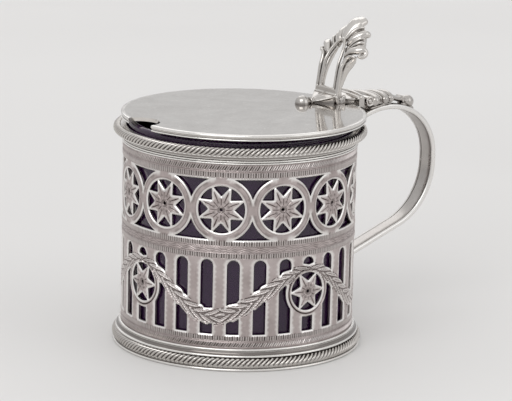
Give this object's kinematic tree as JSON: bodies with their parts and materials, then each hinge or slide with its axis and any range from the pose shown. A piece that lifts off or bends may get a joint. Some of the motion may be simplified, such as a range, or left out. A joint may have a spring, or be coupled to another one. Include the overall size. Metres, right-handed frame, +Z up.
{
  "type": "mustard pot",
  "caption": "Drum mustard pot in pierced silver over a dark blue glass liner, with rope-twist edges, a strap handle and a hinged flat lid with a spoon notch and a thumbpiece.",
  "frame": {"origin": "centre of the foot, on the table that the pot stands on", "axes": "+Z up along the drum's axis, +X from the drum's axis to the handle, +Y along the hinge"},
  "size_m": [0.1039, 0.07, 0.0868],
  "materials": {
    "silver": "polished sterling silver",
    "glass": "cobalt blue glass"
  },
  "bodies": {
    "pot": {"foot_ring": "silver", "foot_rope": "silver", "base_plate": "silver", "drum_wall": "silver", "rim_moulding": "silver", "rim_rope": "silver", "glass_liner": "glass", "handle_strap": "silver", "handle_leaf": "silver", "handle_knuckles": "silver", "hinge_pin": "silver"},
    "lid": {"lid_plate": "silver", "lid_edge_wire": "silver", "lid_strap": "silver", "lid_knuckle": "silver", "thumbpiece": "silver"}
  },
  "joints": [
    {"name": "lid_hinge", "type": "hinge", "parent": "pot", "child": "lid", "pos_m": [0.0397, 0, 0.0647], "axis": [0, 1, 0], "range_deg": [0, 84]}
  ]
}
